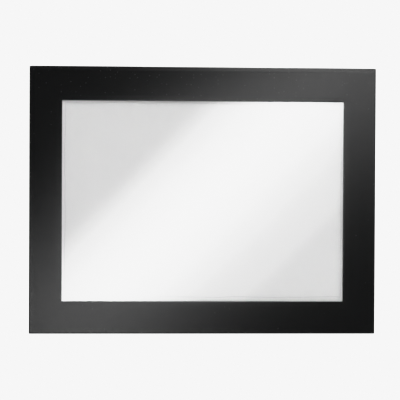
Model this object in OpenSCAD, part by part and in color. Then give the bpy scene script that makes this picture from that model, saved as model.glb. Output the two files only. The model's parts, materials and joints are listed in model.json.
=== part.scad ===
// Flat magnetic photo frame that clings to a steel surface. Two thin leaves lie on each other: a
// back that carries the photo in a shallow tray, and a cover with a black border round a clear
// pane. A folded film along the top edge joins them, and the magnet strips in both leaves hold
// the cover shut. X is the width, Z the height and the front faces -Y. The origin lies behind
// the middle of the photo, in the rear plane, which rests on the steel. Depths are distances in
// front of that plane.

/* [Photo] */
// Width of the photo card
photo_w = 180; // [120:1:300]
// Height of the photo card
photo_h = 130; // [90:1:220]
// Thickness of the photo card
card_t = 0.3; // [0.2:0.05:0.6]
// Room round the card's edges in its tray
card_clearance = 0.5; // [0.3:0.1:1]
// Room between the card's face and the rim of its tray
card_headroom = 0.2; // [0.15:0.05:0.4]

/* [Border] */
// Width of the black border at the three free edges
border_w = 20; // [16:0.5:30]
// Extra width of the border along the hinge edge, which the roll takes up
hinge_margin = 0.8; // [0:0.1:3]
// How far the border laps over each edge of the photo
sight_overlap = 3.5; // [2:0.5:5]
// Radius of the frame's outer corners
corner_r = 0.6; // [0.3:0.1:3]
// Radius of the opening's corners
opening_corner_r = 0.4; // [0.2:0.1:2]
// How far the back shows past the cover at its three free edges
cover_setback = 0.6; // [0.3:0.1:1.5]
// How far each leaf's inner layers stop short of its free edges
core_inset = 0.3; // [0.2:0.1:1]

/* [Cover] */
// Thickness of the black face film
face_film_t = 0.25; // [0.15:0.05:0.4]
// Thickness of the clear film that carries the pane
window_film_t = 0.3; // [0.2:0.05:0.4]
// Thickness of the cover's magnet strips
cover_magnet_t = 0.5; // [0.4:0.05:0.7]
// How far the cover's magnet strips stop short of the opening
opening_inset = 1; // [0.5:0.1:2.5]
// Radius of the easy curve that leads the face film into its roll over the top edge
ease_r = 8; // [4:0.5:9]
// Angle that the easy curve turns through before the tight roll takes over
ease_angle = 20; // [10:1:22]

/* [Back] */
// Thickness of the clear sheet that the back is built on
back_sheet_t = 0.3; // [0.2:0.05:0.5]
// Thickness of the magnet strips that hold to the steel
wall_magnet_t = 0.6; // [0.5:0.05:1]
// How far those strips stop short of the back's edges; inside they end in line with the tray
wall_magnet_inset = 1.5; // [0.5:0.5:4]

/* [Hinge and fits] */
// Thickness of the linings and of the hinge film, which lie flush
lining_t = 0.1; // [0.08:0.01:0.15]
// Height of the hinge film's flank that is bonded to each leaf
hinge_flank = 10; // [6:0.5:13]
// How far the hinge film stops short of the cover at each end
hinge_end_inset = 0.5; // [0.2:0.1:4]
// Air between the closed leaves
leaf_gap = 0.05; // [0.04:0.01:0.12]
// How far the fold's axis stands above the leaves' top edges
fold_reach = 0.1; // [0.08:0.01:0.4]
// Gap where two strips or films meet end to end
butt_gap = 0.2; // [0.1:0.05:0.6]

/* [Hidden] */
// Segments to a full circle on rounded corners and folds
curve_segments = 48;
// Facets along the face film's easy curve and along its tight roll
ease_facets = 10;
roll_facets = 14;
// How far the roll's section reaches into the flat film that it grows out of
roll_overlap = 1;

// The clear opening, the whole frame and the card's tray
opening_w = photo_w - 2 * sight_overlap;
opening_h = photo_h - 2 * sight_overlap;
frame_w = opening_w + 2 * border_w;
tray_w = photo_w + 2 * card_clearance;
tray_h = photo_h + 2 * card_clearance;
bottom_z = -opening_h / 2 - border_w;
top_z = opening_h / 2 + border_w + hinge_margin;
back_magnet_t = card_t + card_headroom - lining_t;

// Depth of each layer's rear face in front of the steel, back to front
sheet_d = wall_magnet_t;
tray_d = sheet_d + back_sheet_t;
back_lining_d = tray_d + back_magnet_t;
back_front_d = back_lining_d + lining_t;
cover_rear_d = back_front_d + leaf_gap;
cover_magnet_d = cover_rear_d + lining_t;
window_d = cover_magnet_d + cover_magnet_t;
face_d = window_d + window_film_t;
front_d = face_d + face_film_t;

// The cover's free edges
cover_w = frame_w - 2 * cover_setback;
cover_bottom_z = bottom_z + cover_setback;

// The face film's roll: the tight radius that brings it down on the hinge film, and the height
// where the easy curve starts and the layers under the face film end
roll_r = (front_d - cover_magnet_d - ease_r * (1 - cos(ease_angle))) / cos(ease_angle);
roll_z = top_z - roll_r - (ease_r - roll_r) * sin(ease_angle);

// Height of the cover's strips where they border the opening
cover_strip_z = opening_h / 2 + opening_inset;

// The fold
axis_d = (back_front_d + cover_rear_d) / 2;
axis_z = top_z + fold_reach;
hinge_w = cover_w - 2 * hinge_end_inset;
flank_z = top_z - hinge_flank;

// Extrudes an outline, drawn as width and height, into a layer that starts at a depth
module layer(depth, thickness) {
    rotate([90, 0, 0])
        translate([0, 0, depth])
            linear_extrude(thickness)
                children();
}

// Sweeps a profile, drawn as -depth and height, over a width centred on the middle
module sweep_across(width) {
    translate([-width / 2, 0, 0])
        rotate([90, 0, 90])
            linear_extrude(width)
                children();
}

module rounded_rectangle(w, h, r) {
    square([w - 2 * r, h], center = true);
    square([w, h - 2 * r], center = true);
    for (x = [-1, 1], z = [-1, 1])
        translate([x * (w / 2 - r), z * (h / 2 - r)])
            circle(r = r, $fn = curve_segments);
}

// A leaf's outline: round corners at the bottom, square ones at the top, where it meets the hinge
module leaf_outline(w, low_z, high_z, r) {
    h = high_z - low_z;
    translate([0, (high_z + low_z) / 2]) {
        rounded_rectangle(w, h, r);
        translate([-w / 2, 0])
            square([w, h / 2]);
    }
}

module opening_outline() {
    rounded_rectangle(opening_w, opening_h, opening_corner_r);
}

// A strip that runs the whole width of a leaf
module long_strip(w, low_z, high_z) {
    translate([-w / 2, low_z])
        square([w, high_z - low_z]);
}

// A strip that stands between the long strips, left or right of the middle (side is -1 or 1)
module side_strip(side, inner_x, outer_x, half_h) {
    x = side > 0 ? inner_x : -outer_x;
    h = 2 * (half_h - butt_gap);
    translate([x, -h / 2])
        square([outer_x - inner_x, h]);
}

// Back leaf

module back_sheet() {
    color([0.88, 0.9, 0.91, 0.6])
        layer(sheet_d, back_sheet_t)
            leaf_outline(frame_w, bottom_z, top_z, corner_r);
}

// The lining hides the tray's magnet strips. It leaves room for the hinge film's flank and runs up
// past both its ends to the top edge.
module back_lining() {
    notch_w = hinge_w + 2 * butt_gap;
    notch_z = flank_z - butt_gap;
    color([0.1, 0.1, 0.11])
        layer(back_lining_d, lining_t)
            difference() {
                leaf_outline(frame_w, bottom_z, top_z, corner_r);
                square([tray_w, tray_h], center = true);
                translate([-notch_w / 2, notch_z])
                    square([notch_w, top_z]);
            }
}

module photo_card() {
    color([0.96, 0.96, 0.95])
        layer(tray_d, card_t)
            square([photo_w, photo_h], center = true);
}

module wall_magnet_long(low_z, high_z) {
    color([0.2, 0.18, 0.17])
        layer(0, wall_magnet_t)
            long_strip(frame_w - 2 * wall_magnet_inset, low_z, high_z);
}

module wall_magnet_side(side) {
    color([0.2, 0.18, 0.17])
        layer(0, wall_magnet_t)
            side_strip(side, tray_w / 2, frame_w / 2 - wall_magnet_inset, tray_h / 2);
}

// The back's front strips leave the tray between them and meet the cover's strips
module back_magnet_long(low_z, high_z) {
    color([0.17, 0.16, 0.16])
        layer(tray_d, back_magnet_t)
            long_strip(frame_w - 2 * core_inset, low_z, high_z);
}

module back_magnet_side(side) {
    color([0.17, 0.16, 0.16])
        layer(tray_d, back_magnet_t)
            side_strip(side, tray_w / 2, frame_w / 2 - core_inset, tray_h / 2);
}

// Cover leaf

// Points along an arc that turns from facing the front to facing up, without its last point
function film_arc(centre, radius, start, end, facets) = [
    for (i = [0 : facets - 1])
        let (turn = start + (end - start) * i / facets)
            centre + radius * [-cos(turn), sin(turn)]
];

// One surface of the film along the top edge: the easy curve, then the roll down to the hinge film
function film_surface(inset) = concat(
    film_arc([ease_r - front_d, roll_z], ease_r - inset, 0, ease_angle, ease_facets),
    film_arc([-cover_magnet_d, top_z - roll_r], roll_r - inset, ease_angle, 90, roll_facets),
    [[-cover_magnet_d, top_z - inset]]
);

module roll_section() {
    inner = film_surface(face_film_t);
    last = len(inner) - 1;
    polygon(concat(
        [[-front_d, roll_z - roll_overlap]],
        film_surface(0),
        [for (i = [0 : last]) inner[last - i]],
        [[-face_d, roll_z - roll_overlap]]
    ));
}

module cover_face_film() {
    color([0.07, 0.07, 0.08]) {
        layer(face_d, face_film_t)
            difference() {
                leaf_outline(cover_w, cover_bottom_z, roll_z, corner_r);
                opening_outline();
            }
        sweep_across(cover_w)
            roll_section();
    }
}

// Clear film that backs the whole border and is the pane in its opening
module cover_window() {
    color([0.85, 0.88, 0.9, 0.45])
        layer(window_d, window_film_t)
            leaf_outline(cover_w - 2 * core_inset, cover_bottom_z + core_inset, roll_z, corner_r);
}

module cover_lining() {
    color([0.1, 0.1, 0.11])
        layer(cover_rear_d, lining_t)
            difference() {
                leaf_outline(cover_w, cover_bottom_z, flank_z - butt_gap, corner_r);
                opening_outline();
            }
}

module cover_magnet_long(low_z, high_z) {
    color([0.17, 0.16, 0.16])
        layer(cover_magnet_d, cover_magnet_t)
            long_strip(cover_w - 2 * core_inset, low_z, high_z);
}

module cover_magnet_side(side) {
    inner_x = opening_w / 2 + opening_inset;
    color([0.17, 0.16, 0.16])
        layer(cover_magnet_d, cover_magnet_t)
            side_strip(side, inner_x, cover_w / 2 - core_inset, cover_strip_z);
}

// Hinge

// One film folded back on itself: a flank in the lining layer of each leaf, and the fold on top
module hinge_film() {
    fold_inner_r = leaf_gap / 2;
    fold_outer_r = fold_inner_r + lining_t;
    color([0.13, 0.13, 0.14])
        sweep_across(hinge_w)
            translate([-axis_d, 0]) {
                for (x = [-fold_outer_r, fold_inner_r])
                    translate([x, flank_z])
                        square([lining_t, axis_z - flank_z]);
                translate([0, axis_z])
                    intersection() {
                        difference() {
                            circle(r = fold_outer_r, $fn = curve_segments);
                            circle(r = fold_inner_r, $fn = curve_segments);
                        }
                        translate([-fold_outer_r, 0])
                            square([2 * fold_outer_r, fold_outer_r]);
                    }
            }
}

back_sheet();
back_lining();
photo_card();
wall_magnet_long(tray_h / 2, top_z - wall_magnet_inset);  // wall_magnet_top
wall_magnet_long(bottom_z + wall_magnet_inset, -tray_h / 2);  // wall_magnet_bottom
wall_magnet_side(-1);  // wall_magnet_left
wall_magnet_side(1);  // wall_magnet_right
back_magnet_long(tray_h / 2, top_z - core_inset);  // back_magnet_top
back_magnet_long(bottom_z + core_inset, -tray_h / 2);  // back_magnet_bottom
back_magnet_side(-1);  // back_magnet_left
back_magnet_side(1);  // back_magnet_right
cover_face_film();
cover_window();
cover_lining();
cover_magnet_long(cover_strip_z, roll_z);  // cover_magnet_top
cover_magnet_long(cover_bottom_z + core_inset, -cover_strip_z);  // cover_magnet_bottom
cover_magnet_side(-1);  // cover_magnet_left
cover_magnet_side(1);  // cover_magnet_right
hinge_film();
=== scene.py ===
import json
import math

import bpy
from mathutils import Matrix, Vector


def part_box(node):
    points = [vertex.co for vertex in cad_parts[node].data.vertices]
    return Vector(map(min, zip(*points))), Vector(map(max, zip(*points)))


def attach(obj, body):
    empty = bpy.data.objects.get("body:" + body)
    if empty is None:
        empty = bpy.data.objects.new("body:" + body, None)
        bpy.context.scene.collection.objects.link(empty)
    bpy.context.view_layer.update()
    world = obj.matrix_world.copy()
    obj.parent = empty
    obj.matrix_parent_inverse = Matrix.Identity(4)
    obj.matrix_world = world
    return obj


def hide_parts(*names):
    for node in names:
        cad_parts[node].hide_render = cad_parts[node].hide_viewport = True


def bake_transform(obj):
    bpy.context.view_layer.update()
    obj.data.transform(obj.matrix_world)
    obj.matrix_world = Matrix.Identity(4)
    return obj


# The looks of a flat magnetic photo frame: its face film and its hinge film as new pieces, a material
# on every piece, the studio's light and the camera

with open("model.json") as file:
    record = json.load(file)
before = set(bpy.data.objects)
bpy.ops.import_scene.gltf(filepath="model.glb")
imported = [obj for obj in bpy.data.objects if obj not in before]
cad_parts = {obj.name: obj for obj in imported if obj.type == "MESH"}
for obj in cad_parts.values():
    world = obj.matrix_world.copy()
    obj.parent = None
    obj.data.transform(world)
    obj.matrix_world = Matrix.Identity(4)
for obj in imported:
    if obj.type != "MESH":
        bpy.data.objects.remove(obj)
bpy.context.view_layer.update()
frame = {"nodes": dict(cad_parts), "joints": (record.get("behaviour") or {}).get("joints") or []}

MM = 0.001
NODES = frame["nodes"]

# Sizes and places, read from the frame
face_low, face_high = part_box("cover_face_film")
window_low, window_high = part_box("cover_window")
side_strip_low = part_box("cover_magnet_right")[0]
top_strip_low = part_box("cover_magnet_top")[0]
hinge_low, hinge_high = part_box("hinge_film")
lining_low, lining_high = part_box("back_lining")
hinge_axis = Vector(frame["joints"][0]["pos_m"])

# The cover's strips stop this far short of the opening
strip_setback = 1 * MM
opening_half_w = side_strip_low.x - strip_setback
opening_half_h = top_strip_low.z - strip_setback

# The face film: its thickness, its corners and the roll over the top edge
film_t = window_low.y - face_low.y
film_corner_r = 0.6 * MM
opening_corner_r = 0.4 * MM
ease_r = 8 * MM
ease_angle = math.radians(20)
roll_depth = face_high.y - face_low.y
roll_r = (roll_depth - ease_r * (1 - math.cos(ease_angle))) / math.cos(ease_angle)
roll_start_z = window_high.z

# Its free edges curl forward by this much, so the rest of the face lies as far behind the front
face_curl = 0.015 * MM
curl_w = 3 * MM
free_edge_r = 0.09 * MM

# Round the opening it drops back by this much over a soft shoulder
shoulder_drop = 0.035 * MM
shoulder_w = 3.5 * MM
opening_edge_r = 0.07 * MM

# The hinge film is as thick as the linings, and folds round the hinge axis
fold_outer_r = (hinge_high.y - hinge_low.y) / 2
fold_inner_r = fold_outer_r - (lining_high.y - lining_low.y)

# A faint darker line in the pane runs this far inside the opening, on its four sides
line_inset_left = 1.9 * MM
line_inset_right = 1.5 * MM
line_inset_low = 2.8 * MM
line_inset_high = 1.4 * MM
# The line wanders by this much, and fades out this far from its middle
line_wobble = 0.9 * MM
line_fade = 0.35 * MM

# The face film's gloss leans to the right and down by this slope, and its grain is this deep
gloss_lean = 0.00426
gloss_relief = 0.0142 * MM

# Dust specks and glints on the face film. Glints are glossier spots whose pale base colour is a painted
# highlight. A cell has one place for them, and their radii are shares of its size.
speck_cell = 1.5 * MM
speck_core_r = 0.14
speck_rim_r = 0.22
# The share of cells that stay bare, low on the frame and along its top, and where that changes
bare_low = 0.99
bare_top = 0.83
bare_low_z = opening_half_h - 25 * MM
bare_top_z = opening_half_h + 5 * MM

# The lines in the magnet strips and in the hinge film are about this many times as long as wide
strip_draw = 30
hinge_draw = 40

# Pale grains in the magnet strips: the size of their cells, their radius as a share of it, and the
# share of cells without one
pale_cell = 0.6 * MM
pale_r = 0.22
pale_bare = 0.7

# Both faces of a clear film mirror 4% each. This index gives the face that a ray enters by the sum.
mirror_ior = 1.77
# The share of light that clear film lets through where it is clearest, and on the faint line inside the
# opening
clearest = 0.995
faint_line_clearness = 0.935

# Fractal noise lies mostly between these
noise_low = 0.3
noise_high = 0.7


# Mesh building

def add_mesh(name, points, faces, material):
    """A smooth-shaded mesh object with sharp edges where its faces meet at more than an angle."""
    sharp_angle = math.radians(35)
    mesh = bpy.data.meshes.new(name)
    mesh.from_pydata([tuple(p) for p in points], [], faces)
    mesh.validate()
    mesh.shade_smooth()
    mesh.set_sharp_from_angle(angle=sharp_angle)
    mesh.materials.append(material)
    piece = bpy.data.objects.new(name, mesh)
    bpy.context.scene.collection.objects.link(piece)
    return piece


def arc(centre_x, centre_z, radius, start, steps):
    """Points along a quarter circle that runs anticlockwise from a start angle in degrees."""
    turns = [math.radians(start + 90 * i / steps) for i in range(steps + 1)]
    return [(centre_x + radius * math.cos(a), centre_z + radius * math.sin(a)) for a in turns]


def edge_section(bend_w, drop, round_r, thickness):
    """A film's edge in section, from its flat front to its rear, as (distance in from the edge, depth)."""
    hold = 0.5 * MM
    bend_steps = 8
    round_steps = 5
    rear_bevel = 0.02 * MM
    section = [(bend_w + hold, 0.0)]
    for i in range(bend_steps + 1):
        inward = bend_w + (round_r - bend_w) * i / bend_steps
        section.append((inward, drop * (1 - inward / bend_w) ** 2))
    bend_depth = section[-1][1]
    for i in range(1, round_steps + 1):
        turn = math.radians(90 * i / round_steps)
        section.append((round_r * (1 - math.sin(turn)), bend_depth + round_r * (1 - math.cos(turn))))
    section.append((0.0, thickness - rear_bevel))
    section.append((rear_bevel, thickness))
    return section


class FaceFilm:
    """The black film with its opening, its soft shoulders and its rolled top edge, as one closed mesh."""

    corner_steps = 6
    ease_steps = 12
    roll_steps = 16
    least_r = 0.02 * MM

    def __init__(self):
        self.points = []
        self.faces = []

    def add_point(self, x, z, depth):
        """Adds a point this deep behind the flat front, and gives its number."""
        self.points.append(Vector((x, face_low.y + face_curl + depth, z)))
        return len(self.points) - 1

    def outer_chain(self, inward, depth):
        """Down the left side, round the two lower corners and up the right side."""
        radius = max(film_corner_r - inward, self.least_r)
        x = face_high.x - inward
        z = face_low.z + inward
        outline = [(-x, roll_start_z)]
        outline += arc(radius - x, z + radius, radius, 180, self.corner_steps)
        outline += arc(x - radius, z + radius, radius, 270, self.corner_steps)
        outline.append((x, roll_start_z))
        return [self.add_point(px, pz, depth) for px, pz in outline]

    def inner_ring(self, outward, depth):
        """Round the opening, from its lower left corner, anticlockwise."""
        radius = opening_corner_r + outward
        cx = opening_half_w - opening_corner_r
        cz = opening_half_h - opening_corner_r
        outline = []
        for corner_x, corner_z, start in ((-cx, -cz, 180), (cx, -cz, 270), (cx, cz, 0), (-cx, cz, 90)):
            outline += arc(corner_x, corner_z, radius, start, self.corner_steps)
        return [self.add_point(px, pz, depth) for px, pz in outline]

    def bridge(self, ring, following, closed):
        """Quads between two rings of as many points."""
        count = len(ring)
        for i in range(count if closed else count - 1):
            k = (i + 1) % count
            self.faces.append((ring[i], following[i], following[k], ring[k]))

    def annulus(self, chain, ring, front):
        """The flat field between the outer chain and the ring round the opening."""
        n = self.corner_steps + 1
        lower_left, lower_right = chain[1:n + 1], chain[n + 1:2 * n + 1]
        corners = [ring[i * n:(i + 1) * n] for i in range(4)]
        fields = []
        for outer, inner in ((lower_left, corners[0]), (lower_right, corners[1])):
            fields += [(outer[i], outer[i + 1], inner[i + 1], inner[i]) for i in range(n - 1)]
        fields.append((lower_left[-1], lower_right[0], corners[1][0], corners[0][-1]))
        fields.append((chain[0], lower_left[0], corners[0][0], corners[3][-1]))
        fields.append((lower_right[-1], chain[-1], corners[2][0], corners[1][-1]))
        fields.append((chain[-1], chain[0], *reversed(corners[3]), *reversed(corners[2])))
        self.faces += fields if front else [tuple(reversed(f)) for f in fields]

    def roll_stations(self):
        """(centre y, centre z, radius, turn) along the front surface, from the flat film to its end."""
        ease = (face_low.y + ease_r, roll_start_z, ease_r)
        tight = (face_high.y, face_high.z - roll_r, roll_r)
        stations = [(*ease, ease_angle * i / self.ease_steps) for i in range(1, self.ease_steps)]
        span = math.radians(90) - ease_angle
        stations += [(*tight, ease_angle + span * i / self.roll_steps) for i in range(self.roll_steps + 1)]
        return stations

    def roll(self, section, left, right):
        """Sweeps the film's section along the roll. left and right are its points where the roll starts."""
        for cy, cz, radius, turn in self.roll_stations():
            new_left, new_right = [], []
            for inward, depth in section:
                y = cy - (radius - face_curl - depth) * math.cos(turn)
                z = cz + (radius - face_curl - depth) * math.sin(turn)
                for side, row in ((-1, new_left), (1, new_right)):
                    self.points.append(Vector((side * (face_high.x - inward), y, z)))
                    row.append(len(self.points) - 1)
            loop = left + right[::-1]
            following = new_left + new_right[::-1]
            self.bridge(loop, following, closed=True)
            left, right = new_left, new_right
        self.faces.append(tuple(left + right[::-1]))

    def build(self, material):
        """The film's mesh object: its two edges, its front and rear, and the roll."""
        outer_section = edge_section(curl_w, -face_curl, free_edge_r, film_t - face_curl)
        inner_section = edge_section(shoulder_w, shoulder_drop, opening_edge_r, film_t - face_curl)
        chains = [self.outer_chain(inward, depth) for inward, depth in outer_section]
        rings = [self.inner_ring(outward, depth) for outward, depth in inner_section]
        for a, b in zip(chains, chains[1:]):
            self.bridge(a, b, closed=False)
        for a, b in zip(rings, rings[1:]):
            self.bridge(b, a, closed=True)
        self.annulus(chains[0], rings[0], front=True)
        self.annulus(chains[-1], rings[-1], front=False)
        self.roll(outer_section, [c[0] for c in chains], [c[-1] for c in chains])
        return add_mesh("rolled_face_film", self.points, self.faces, material)


def hinge_section():
    """The folded film in section: up the back's flank, over the fold and down the cover's flank."""
    fold_steps = 16
    turns = [math.pi * i / fold_steps for i in range(fold_steps + 1)]

    def fold(radius):
        return [(radius * math.cos(a), hinge_axis.z + radius * math.sin(a)) for a in turns]

    outline = [(fold_outer_r, hinge_low.z), *fold(fold_outer_r), (-fold_outer_r, hinge_low.z)]
    outline += [(-fold_inner_r, hinge_low.z), *reversed(fold(fold_inner_r)), (fold_inner_r, hinge_low.z)]
    return [(hinge_axis.y + y, z) for y, z in outline]


def build_hinge_film(material):
    """One film folded back on itself round the hinge axis."""
    outline = hinge_section()
    count = len(outline)
    points = [Vector((x, y, z)) for x in (hinge_low.x, hinge_high.x) for y, z in outline]
    faces = [(i, (i + 1) % count, count + (i + 1) % count, count + i) for i in range(count)]
    faces.append(tuple(reversed(range(count))))
    faces.append(tuple(range(count, 2 * count)))
    return add_mesh("folded_hinge_film", points, faces, material)


# Node materials

def add_node(tree, kind, inputs=None, **settings):
    """Adds a shader node. Each input is set to a value, or linked where a socket is given."""
    node = tree.nodes.new(kind)
    for name, value in settings.items():
        setattr(node, name, value)
    for key, value in (inputs or {}).items():
        if isinstance(value, bpy.types.NodeSocket):
            tree.links.new(value, node.inputs[key])
        else:
            node.inputs[key].default_value = value
    return node


def math_node(tree, operation, *values):
    """The result of a sum, product or other operation on numbers."""
    inputs = dict(enumerate(values))
    return add_node(tree, "ShaderNodeMath", inputs, operation=operation).outputs[0]


def vector_node(tree, operation, *values, output="Vector"):
    """The result of an operation on vectors, which is a number where the output is Value."""
    inputs = dict(enumerate(values))
    return add_node(tree, "ShaderNodeVectorMath", inputs, operation=operation).outputs[output]


def split(tree, vector):
    """A vector's X, Y and Z."""
    return add_node(tree, "ShaderNodeSeparateXYZ", {0: vector}).outputs


def noise(tree, place, size, detail=2.0, roughness=0.5):
    """Fractal noise whose largest features are about one size across."""
    inputs = {"Vector": place, "Scale": 1 / size, "Detail": detail, "Roughness": roughness}
    return add_node(tree, "ShaderNodeTexNoise", inputs).outputs[0]


def cells(tree, place, size):
    """A cell pattern: the distance to each cell's point, and two chances that each cell draws."""
    node = add_node(tree, "ShaderNodeTexVoronoi", {"Vector": place, "Scale": 1 / size})
    chances = add_node(tree, "ShaderNodeSeparateColor", {0: node.outputs["Color"]}).outputs
    return node.outputs["Distance"], chances[:2]


def spread(tree, value, low, high, to_low, to_high, smooth=False):
    """Carries a value from one range to another, and clamps it there."""
    inputs = {"Value": value, "From Min": low, "From Max": high, "To Min": to_low, "To Max": to_high}
    kind = "SMOOTHSTEP" if smooth else "LINEAR"
    return add_node(tree, "ShaderNodeMapRange", inputs, interpolation_type=kind).outputs["Result"]


def spread_noise(tree, value, to_low, to_high):
    """Carries the usual range of a noise to another one."""
    return spread(tree, value, noise_low, noise_high, to_low, to_high)


def mix_colour(tree, share, first, second):
    """Blends two colours. The node's colour sockets are its inputs 6 and 7 and its output 2."""
    inputs = {0: share, 6: first, 7: second}
    return add_node(tree, "ShaderNodeMix", inputs, data_type="RGBA").outputs[2]


def overlay(tree, under, colour, pattern, low, high, share):
    """Lays a colour over another: none where a pattern is low, and up to a share where it is high."""
    return mix_colour(tree, spread(tree, pattern, low, high, 0, share), under, colour)


def stretched(tree, place, along_x, along_z):
    """The same place, drawn out along X or Z, for grain that runs with a strip."""
    return vector_node(tree, "MULTIPLY", place, (1 / along_x, 1, 1 / along_z))


def bump(tree, height, distance):
    """A normal from a pattern of heights, in parts of a distance."""
    inputs = {"Height": height, "Distance": distance, "Filter Width": 0.05}
    return add_node(tree, "ShaderNodeBump", inputs).outputs["Normal"]


def new_material(name):
    """A material with its Principled shader, and the piece's own coordinates in metres."""
    material = bpy.data.materials.new(name)
    material.use_nodes = True
    tree = material.node_tree
    tree.nodes.clear()
    output = add_node(tree, "ShaderNodeOutputMaterial")
    shader = add_node(tree, "ShaderNodeBsdfPrincipled")
    tree.links.new(shader.outputs[0], output.inputs["Surface"])
    place = add_node(tree, "ShaderNodeTexCoord").outputs["Object"]
    return material, tree, shader, place


def grey(level, warmth=0.0):
    """A nearly neutral colour. A warmth above 0 leans to red, and below 0 to blue."""
    return (level * (1 + warmth), level, level * (1 - warmth), 1)


def link(tree, shader, name, socket):
    """Feeds an input of a shader from a pattern."""
    tree.links.new(socket, shader.inputs[name])


def mix_shader(tree, share, first, second):
    """A node that blends two shader nodes."""
    inputs = {0: share, 1: first.outputs[0], 2: second.outputs[0]}
    return add_node(tree, "ShaderNodeMixShader", inputs)


def set_surface(tree, shader):
    """Makes a shader node what the material shows, in place of its Principled shader alone."""
    output = next(n for n in tree.nodes if n.type == "OUTPUT_MATERIAL")
    tree.links.new(shader.outputs[0], output.inputs["Surface"])


def dust_and_painted_glints(tree, place):
    """Where specks and glints lie on the face film: in hardly a cell low down, and in more at its top.
    Glints carry a painted highlight.
    """
    distance, chances = cells(tree, place, speck_cell)
    near = spread(tree, distance, speck_core_r, speck_rim_r, 1, 0)
    height = split(tree, place)[2]
    bare = spread(tree, height, bare_low_z, bare_top_z, bare_low, bare_top)
    filled = [math_node(tree, "GREATER_THAN", chance, bare) for chance in chances]
    return [math_node(tree, "MULTIPLY", near, share) for share in filled]


def black_face_material():
    """Printed film whose glossy coat is broken up by a fine grain. Dust specks and glints lie on it, and
    glints are glossier spots with a painted highlight in their base colour.
    """
    material, tree, shader, place = new_material("black_face_film")
    grain = noise(tree, place, 0.15 * MM, detail=1)
    blotch = noise(tree, place, 0.8 * MM, detail=3)
    cloud = noise(tree, place, 14 * MM, detail=2)
    speck, glossy_painted_glint = dust_and_painted_glints(tree, place)
    film = mix_colour(tree, cloud, grey(0.0040, -0.04), grey(0.0052, -0.04))
    blotched = overlay(tree, film, grey(0.0065, -0.04), blotch, low=0.35, high=0.7, share=0.5)
    marked = mix_colour(tree, speck, blotched, grey(0.036, -0.03))
    # Glints are lifted to a pale base colour, which is a painted highlight on top of their glossier coat
    link(tree, shader, "Base Color", mix_colour(tree, glossy_painted_glint, marked, grey(0.16, -0.03)))
    link(tree, shader, "Roughness", spread_noise(tree, cloud, 0.55, 0.62))
    glint_gloss = 0.55
    gloss = math_node(tree, "MULTIPLY_ADD", glossy_painted_glint, glint_gloss, spread_noise(tree, blotch, 0.25, 0.43))
    link(tree, shader, "Coat Weight", gloss)
    rise = gloss_lean / gloss_relief
    lean = vector_node(tree, "DOT_PRODUCT", place, (-rise, 0, rise), output="Value")
    relief = math_node(tree, "ADD", grain, lean)
    link(tree, shader, "Coat Normal", bump(tree, relief, gloss_relief))
    shader.inputs["Specular IOR Level"].default_value = 0.03
    shader.inputs["Coat Roughness"].default_value = 0.1
    return material


def black_lining_material():
    """Matt black film with the weak print of the strips' grain that it lies on."""
    material, tree, shader, place = new_material("black_lining_film")
    grain = noise(tree, place, 0.3 * MM, detail=3)
    cloud = noise(tree, place, 9 * MM, detail=3)
    base = mix_colour(tree, cloud, grey(0.010, -0.02), grey(0.016, -0.02))
    printed = overlay(tree, base, grey(0.024), grain, low=0.4, high=0.7, share=0.4)
    link(tree, shader, "Base Color", printed)
    link(tree, shader, "Roughness", spread_noise(tree, cloud, 0.48, 0.6))
    relief = math_node(tree, "ADD", grain, math_node(tree, "MULTIPLY", cloud, 0.5))
    link(tree, shader, "Normal", bump(tree, relief, 0.004 * MM))
    shader.inputs["Specular IOR Level"].default_value = 0.4
    return material


def hinge_film_material():
    """Satin black film with fine lines along the fold."""
    material, tree, shader, place = new_material("hinge_black_film")
    lines = noise(tree, stretched(tree, place, hinge_draw, 1), 0.25 * MM, detail=2)
    cloud = noise(tree, place, 7 * MM, detail=2)
    link(tree, shader, "Base Color", mix_colour(tree, cloud, grey(0.008, -0.02), grey(0.013, -0.02)))
    link(tree, shader, "Roughness", spread_noise(tree, lines, 0.32, 0.46))
    link(tree, shader, "Normal", bump(tree, lines, 0.003 * MM))
    shader.inputs["Specular IOR Level"].default_value = 0.4
    return material


def magnet_material(name, level, along_x, along_z):
    """Ferrite-filled rubber strip: dark, slightly brown, with drawn lines, pale grains and rubbed spots."""
    material, tree, shader, place = new_material(name)
    drawn = stretched(tree, place, along_x, along_z)
    lines = noise(tree, drawn, 0.35 * MM, detail=4, roughness=0.6)
    bands = noise(tree, drawn, 2.2 * MM, detail=3, roughness=0.6)
    rubs = noise(tree, place, 6 * MM, detail=5, roughness=0.65)
    cloud = noise(tree, place, 12 * MM, detail=3)
    distance, chances = cells(tree, place, pale_cell)
    near = math_node(tree, "LESS_THAN", distance, pale_r)
    pale = math_node(tree, "MULTIPLY", near, math_node(tree, "GREATER_THAN", chances[0], pale_bare))
    base = mix_colour(tree, cloud, grey(level * 0.8, 0.1), grey(level * 1.15, 0.08))
    banded = overlay(tree, base, grey(level * 1.5, 0.07), bands, low=0.42, high=0.62, share=0.6)
    lined = overlay(tree, banded, grey(level * 1.7, 0.06), lines, low=0.4, high=0.65, share=0.45)
    rubbed = overlay(tree, lined, grey(level * 2.2, 0.05), rubs, low=0.56, high=0.7, share=0.5)
    link(tree, shader, "Base Color", mix_colour(tree, pale, rubbed, grey(level * 2.6, 0.04)))
    link(tree, shader, "Roughness", spread(tree, rubs, 0.45, 0.7, 0.68, 0.45))
    link(tree, shader, "Normal", bump(tree, lines, 0.012 * MM))
    shader.inputs["Specular IOR Level"].default_value = 0.35
    return material


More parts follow.
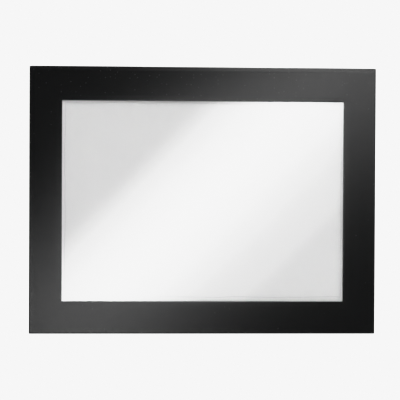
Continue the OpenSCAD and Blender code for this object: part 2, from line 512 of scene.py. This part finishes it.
def faint_pane_line(tree, place):
    """How much of the faint darker line inside the pane's opening lies at a place."""
    middle = ((line_inset_left - line_inset_right) / 2, 0, (line_inset_low - line_inset_high) / 2)
    reach_x = opening_half_w - (line_inset_left + line_inset_right) / 2
    reach_z = opening_half_h - (line_inset_low + line_inset_high) / 2
    from_middle = vector_node(tree, "ABSOLUTE", vector_node(tree, "SUBTRACT", place, middle))
    apart = split(tree, from_middle)
    past_x = math_node(tree, "SUBTRACT", apart[0], reach_x)
    past_z = math_node(tree, "SUBTRACT", apart[2], reach_z)
    past = math_node(tree, "MAXIMUM", past_x, past_z)
    wobble = spread(tree, noise(tree, place, 22 * MM, detail=2), 0, 1, -line_wobble, line_wobble)
    off_line = math_node(tree, "ABSOLUTE", math_node(tree, "ADD", past, wobble))
    return spread(tree, off_line, 0, line_fade, 1, 0, smooth=True)


def clear_film_material(name, tint, haze_share, roughness, ripple, with_faint_line=False):
    """Clear film. It mirrors its surroundings where a ray enters it and lets the rest straight through."""
    material, tree, gloss, place = new_material(name)
    cloud = noise(tree, place, 45 * MM, detail=1)
    haze = noise(tree, place, 3 * MM, detail=3)
    gloss.inputs["Metallic"].default_value = 1.0
    gloss.inputs["Base Color"].default_value = grey(1)
    link(tree, gloss, "Roughness", spread_noise(tree, haze, roughness, roughness * 1.5))
    link(tree, gloss, "Normal", bump(tree, cloud, ripple))
    clear_tint = mix_colour(tree, haze, tint, grey(clearest))
    if with_faint_line:
        # A faint line inside the opening dims what the pane lets through
        clear_tint = mix_colour(tree, faint_pane_line(tree, place), clear_tint, grey(faint_line_clearness))
    clear = add_node(tree, "ShaderNodeBsdfTransparent", {"Color": clear_tint})
    milk = add_node(tree, "ShaderNodeBsdfPrincipled", {"Base Color": grey(0.8), "Roughness": 0.5})
    body = mix_shader(tree, math_node(tree, "MULTIPLY", haze, haze_share), clear, milk)
    mirror = add_node(tree, "ShaderNodeFresnel", {"IOR": mirror_ior}).outputs[0]
    leaving = add_node(tree, "ShaderNodeNewGeometry").outputs["Backfacing"]
    mirror_share = math_node(tree, "MULTIPLY", mirror, math_node(tree, "SUBTRACT", 1.0, leaving))
    set_surface(tree, mix_shader(tree, mirror_share, body, gloss))
    return material


def card_material():
    """White photo paper with a trace of fibre in it."""
    material, tree, shader, place = new_material("white_photo_card")
    fibre = noise(tree, place, 0.5 * MM, detail=4)
    cloud = noise(tree, place, 25 * MM, detail=2)
    base = mix_colour(tree, cloud, grey(0.842, 0.002), grey(0.858, 0.002))
    fibrous = overlay(tree, base, grey(0.83), fibre, low=0.4, high=0.7, share=0.25)
    link(tree, shader, "Base Color", fibrous)
    link(tree, shader, "Roughness", spread_noise(tree, fibre, 0.6, 0.75))
    link(tree, shader, "Normal", bump(tree, fibre, 0.004 * MM))
    shader.inputs["Specular IOR Level"].default_value = 0.25
    return material


def dress(node_names, material, bevel_w):
    """Gives CAD nodes a material, smooth shading and a fine bevel on their cut edges."""
    cut_angle = math.radians(40)
    for name in node_names:
        node = NODES[name]
        node.data.materials.clear()
        node.data.materials.append(material)
        node.data.shade_smooth()
        bevel = node.modifiers.new("cut_edge", "BEVEL")
        bevel.width = bevel_w
        bevel.segments = 2
        bevel.limit_method = "ANGLE"
        bevel.angle_limit = cut_angle
        bevel.harden_normals = True


def build_object():
    """Builds the pieces that replace CAD nodes, and dresses the other nodes."""
    face = FaceFilm().build(black_face_material())
    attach(face, "cover")
    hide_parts("cover_face_film")

    hinge = build_hinge_film(hinge_film_material())
    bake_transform(hinge)
    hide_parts("hinge_film")

    dress(["back_lining", "cover_lining"], black_lining_material(), bevel_w=0.02 * MM)
    dress(["photo_card"], card_material(), bevel_w=0.03 * MM)
    pane = clear_film_material(
        "clear_pane_film", grey(0.980), haze_share=0.0, roughness=0.012, ripple=0.004 * MM, with_faint_line=True
    )
    dress(["cover_window"], pane, bevel_w=0.03 * MM)
    sheet = clear_film_material(
        "clear_back_film", grey(0.95, -0.01), haze_share=0.15, roughness=0.06, ripple=0.01 * MM
    )
    dress(["back_sheet"], sheet, bevel_w=0.04 * MM)
    for group, level in (("wall_magnet", 0.040), ("back_magnet", 0.032), ("cover_magnet", 0.032)):
        along_x = magnet_material(f"{group}_long", level, strip_draw, 1)
        along_z = magnet_material(f"{group}_side", level, 1, strip_draw)
        dress([f"{group}_top", f"{group}_bottom"], along_x, bevel_w=0.05 * MM)
        dress([f"{group}_left", f"{group}_right"], along_z, bevel_w=0.05 * MM)


# Studio

# Light levels in the scene are shares of this level, at which the picture reaches its own white
full_light = 0.6
picture_white = 0.9216
# (light, tone) pairs of the camera's response, in shares of full light and of the picture's white
response = [(0.84, 0.84), (1.0, 0.925), (1.25, 0.975), (1.65, 1.0)]

camera_place = Vector((-21.2, -581.9, 5.2)) * MM
camera_yaw = math.radians(1.90)
camera_pitch = math.radians(-0.43)
camera_roll = math.radians(0.27)
camera_lens = 85

# The lamp that the pane mirrors as a band from the lower left to the upper right. Distances across
# the band are measured on the pane, from its middle towards the lower right.
band_near_edge = -41 * MM
band_far_edge = 62 * MM
# It fades over this distance on either side of each edge
band_near_feather = 8 * MM
band_far_feather = 6 * MM
# Its brightest line, and how far the glow spreads from there to the near and the far side
band_centre = -2 * MM
band_near_spread = 19 * MM
band_far_spread = 21 * MM
# Its radiance in that line and far from it, in shares of full light
band_peak = 10.3
band_floor = 1.1
# How far the lamp runs on past the edges, and where it starts and ends along the band
band_margin = 10 * MM
band_reach = (-145 * MM, 200 * MM)
# The distance in metres of the mirrored lamps in front of the pane
lamp_distance = 2.0

# The lamp that the roll along the top edge mirrors, measured on the pane too. It brightens from its
# left end to a place nearer its right end.
roll_lamp_x = (-45 * MM, 150 * MM)
roll_lamp_z = (125 * MM, 380 * MM)
roll_lamp_full_x = 90 * MM
roll_lamp_peak = 8.3

# The soft lamps round the object: azimuth and elevation in degrees, distance, width and length in
# metres, and radiance in shares of full light. Azimuth 0 is in front of the object, and 90 to its right.
soft_lamps = {
    "right_lamp": (66, 8, 2.2, (0.8, 1.0), 4.1),
    "crown_lamp": (18, 56, 1.2, (0.42, 0.85), 4.85),
    "overhead_lamp": (150, 74, 1.2, (0.5, 0.5), 18.0),
    "rear_right_lamp": (140, 25, 1.8, (0.9, 0.9), 2.0),
    "rear_left_lamp": (-135, 35, 1.8, (0.9, 0.9), 1.6),
}
# The share of a soft lamp's width over which it dims on each side
lamp_edge_share = 0.25

# The dome of fill light: its level round the front, and the cosines of the angles from straight
# ahead between which it sets in
dome_level = 0.17
dome_core = 0.93
dome_rim = 0.7
# What the dome gains overhead and behind, and the heights and depths on a unit sphere between
# which it gains them
dome_crown = 0.045
dome_crown_span = (0.1, 0.9)
dome_rear = 0.27
dome_rear_span = (-0.2, 0.5)

# The round floor, in metres: its height and radius, and where it fades out
floor_z = -0.28
floor_r = 0.6
floor_fade_span = (0.35 * floor_r, 0.97 * floor_r)
floor_mottle = 0.05


def set_response(view):
    """A plain view with a soft shoulder, so that bright tones close in on the picture's white."""
    view.view_transform = "Standard"
    view.use_curve_mapping = True
    curve = view.curve_mapping
    curve.extend = "HORIZONTAL"
    combined = curve.curves[3]
    combined.points[0].location = (0, 0)
    combined.points[1].location = (response[-1][0] * full_light, picture_white)
    for light, tone in response[:-1]:
        combined.points.new(light * full_light, tone * picture_white)
    for point in combined.points:
        point.handle_type = "VECTOR"
    curve.update()


def camera_axes():
    """The camera's right, up and forward directions."""
    forward = Vector((
        math.sin(camera_yaw) * math.cos(camera_pitch),
        math.cos(camera_yaw) * math.cos(camera_pitch),
        math.sin(camera_pitch),
    ))
    level_right = Vector((math.cos(camera_yaw), -math.sin(camera_yaw), 0))
    level_up = level_right.cross(forward)
    right = math.cos(camera_roll) * level_right + math.sin(camera_roll) * level_up
    up = math.cos(camera_roll) * level_up - math.sin(camera_roll) * level_right
    return right, up, forward


def add_camera():
    """The camera where the photo was taken from."""
    right, up, forward = camera_axes()
    data = bpy.data.cameras.new("camera")
    data.lens = camera_lens
    data.sensor_width = 36
    data.clip_start = 0.01
    data.clip_end = 20
    camera = bpy.data.objects.new("camera", data)
    bpy.context.scene.collection.objects.link(camera)
    turn = Matrix((right, up, -forward)).transposed().to_4x4()
    camera.matrix_world = Matrix.Translation(camera_place) @ turn
    bpy.context.scene.camera = camera


def add_lamp(name, place, across, aim, size, radiance):
    """A rectangular area lamp. Its first side runs along across, and it shines along aim."""
    data = bpy.data.lights.new(name, "AREA")
    data.shape = "RECTANGLE"
    data.size, data.size_y = size
    data.energy = radiance * full_light * math.pi * size[0] * size[1]
    lamp = bpy.data.objects.new(name, data)
    bpy.context.scene.collection.objects.link(lamp)
    z = -aim.normalized()
    x = (across - across.dot(z) * z).normalized()
    turn = Matrix((x, z.cross(x), z)).transposed().to_4x4()
    lamp.matrix_world = Matrix.Translation(place) @ turn
    lamp.visible_camera = False
    return lamp


def mirrored_lamp(name, across, along, across_span, along_span):
    """A lamp whose mirror image, as the camera sees it in the pane, spans these distances on the pane."""
    ratio = lamp_distance / (window_low.y - camera_place.y)
    camera_flat = Vector((camera_place.x, 0, camera_place.z))

    def spanned(side, span):
        middle = (1 + ratio) * sum(span) / 2 - ratio * side.dot(camera_flat)
        return side * middle, (1 + ratio) * (span[1] - span[0])

    across_place, width = spanned(across, across_span)
    along_place, length = spanned(along, along_span)
    place = across_place + along_place + Vector((0, window_low.y - lamp_distance, 0))
    return add_lamp(name, place, across, Vector((0, 1, 0)), (width, length), 1.0)


def lamp_nodes(light):
    """A lamp's node tree, its emission, and a place's shares of the lamp's two sides."""
    light.use_nodes = True
    tree = light.node_tree
    emission = next(n for n in tree.nodes if n.type == "EMISSION")
    place = add_node(tree, "ShaderNodeNewGeometry").outputs["Parametric"]
    return tree, emission, split(tree, place)[:2]


def lamp_offset(light, low, high):
    """The lamp's node tree, its emission, and the distance across it as it spans the pane."""
    tree, emission, shares = lamp_nodes(light)
    return tree, emission, spread(tree, shares[0], 0, 1, low, high)


def shade_band(light, low, high):
    """Brightest along the band's middle, dimmer to its edges and dark past them."""
    tree, emission, offset = lamp_offset(light, low, high)
    beyond = math_node(tree, "SUBTRACT", offset, band_centre)
    nearer = math_node(tree, "DIVIDE", math_node(tree, "MINIMUM", beyond, 0.0), band_near_spread)
    farther = math_node(tree, "DIVIDE", math_node(tree, "MAXIMUM", beyond, 0.0), band_far_spread)
    distance = math_node(tree, "ADD", nearer, farther)
    square = math_node(tree, "MULTIPLY", math_node(tree, "MULTIPLY", distance, distance), -0.5)
    hot = math_node(tree, "MULTIPLY", math_node(tree, "EXPONENT", square), band_peak - band_floor)
    glow = math_node(tree, "ADD", hot, band_floor)
    near_low, near_high = band_near_edge - band_near_feather, band_near_edge + band_near_feather
    far_low, far_high = band_far_edge - band_far_feather, band_far_edge + band_far_feather
    near_side = spread(tree, offset, near_low, near_high, 0, 1, smooth=True)
    far_side = spread(tree, offset, far_low, far_high, 1, 0, smooth=True)
    window = math_node(tree, "MULTIPLY", near_side, far_side)
    tree.links.new(math_node(tree, "MULTIPLY", glow, window), emission.inputs["Strength"])


def add_band_lamp():
    """The lamp behind the camera whose mirror image is the band on the pane."""
    slant = math.sqrt(0.5)
    span = (band_near_edge - band_margin, band_far_edge + band_margin)
    across = Vector((slant, 0, -slant))
    along = Vector((slant, 0, slant))
    lamp = mirrored_lamp("band_lamp", across, along, span, band_reach)
    shade_band(lamp.data, *span)


def add_roll_lamp():
    """The lamp above the band that the roll along the top edge mirrors, dimmer to the left."""
    lamp = mirrored_lamp("roll_lamp", Vector((1, 0, 0)), Vector((0, 0, 1)), roll_lamp_x, roll_lamp_z)
    tree, emission, offset = lamp_offset(lamp.data, *roll_lamp_x)
    level = spread(tree, offset, roll_lamp_x[0], roll_lamp_full_x, 0, roll_lamp_peak, smooth=True)
    tree.links.new(level, emission.inputs["Strength"])


def soften(light):
    """Dims a lamp towards its four edges, and makes up for that in its middle."""
    tree, emission, shares = lamp_nodes(light)
    level = (1 - lamp_edge_share) ** -2
    for share in shares:
        from_middle = math_node(tree, "ABSOLUTE", math_node(tree, "SUBTRACT", share, 0.5))
        side = spread(tree, from_middle, 0.5 - lamp_edge_share, 0.5, 1, 0, smooth=True)
        level = math_node(tree, "MULTIPLY", level, side)
    tree.links.new(level, emission.inputs["Strength"])


def add_soft_lamp(name, azimuth, elevation, distance, size, radiance):
    """A soft lamp on a sphere round the object, which shines at its middle."""
    a, e = math.radians(azimuth), math.radians(elevation)
    out = Vector((math.sin(a) * math.cos(e), -math.cos(a) * math.cos(e), math.sin(e)))
    across = Vector((math.cos(a), math.sin(a), 0))
    lamp = add_lamp(name, out * distance, across, -out, size, radiance)
    soften(lamp.data)


def add_lamps():
    """The two lamps that are seen as reflections, and the soft lamps."""
    add_band_lamp()
    add_roll_lamp()
    for name, setting in soft_lamps.items():
        add_soft_lamp(name, *setting)


def shade_world():
    """Plain pale ground for the camera. As light it is a dome that is dark straight ahead of the pane."""
    world = bpy.data.worlds.new("studio")
    bpy.context.scene.world = world
    world.use_nodes = True
    tree = world.node_tree
    tree.nodes.clear()
    way = split(tree, add_node(tree, "ShaderNodeTexCoord").outputs["Generated"])
    around = spread(tree, way[1], -dome_core, -dome_rim, 0, dome_level, smooth=True)
    above = spread(tree, way[2], *dome_crown_span, 0, dome_crown, smooth=True)
    behind = spread(tree, way[1], *dome_rear_span, 0, dome_rear, smooth=True)
    total = math_node(tree, "ADD", math_node(tree, "ADD", around, above), behind)
    level = math_node(tree, "MULTIPLY", total, full_light)
    fill = add_node(tree, "ShaderNodeBackground", {"Color": grey(1), "Strength": level})
    ground = add_node(tree, "ShaderNodeBackground", {"Color": grey(1), "Strength": 1.0})
    seen = add_node(tree, "ShaderNodeLightPath").outputs["Is Camera Ray"]
    both = mix_shader(tree, seen, fill, ground)
    output = add_node(tree, "ShaderNodeOutputWorld")
    tree.links.new(both.outputs[0], output.inputs["Surface"])


def floor_material():
    """Pale matt floor that fades out towards its rim, and is clear from below."""
    material, tree, shader, place = new_material("pale_floor")
    mottle = noise(tree, place, floor_mottle, detail=4)
    link(tree, shader, "Base Color", mix_colour(tree, mottle, grey(0.86), grey(0.9)))
    shader.inputs["Roughness"].default_value = 0.8
    shader.inputs["Specular IOR Level"].default_value = 0.1
    radius = vector_node(tree, "LENGTH", place, output="Value")
    fade = spread(tree, radius, *floor_fade_span, 0, 1, smooth=True)
    underside = add_node(tree, "ShaderNodeNewGeometry").outputs["Backfacing"]
    gone = math_node(tree, "MAXIMUM", fade, underside)
    clear = add_node(tree, "ShaderNodeBsdfTransparent")
    set_surface(tree, mix_shader(tree, gone, shader, clear))
    return material


def add_floor():
    """A round floor under the object."""
    sides = 96
    turns = [2 * math.pi * i / sides for i in range(sides)]
    rim = [Vector((floor_r * math.cos(a), floor_r * math.sin(a), 0)) for a in turns]
    floor = add_mesh("studio_floor", rim, [tuple(range(sides))], floor_material())
    floor.location = (0, 0, floor_z)


build_object()
add_floor()
add_lamps()
shade_world()
add_camera()
set_response(bpy.context.scene.view_settings)
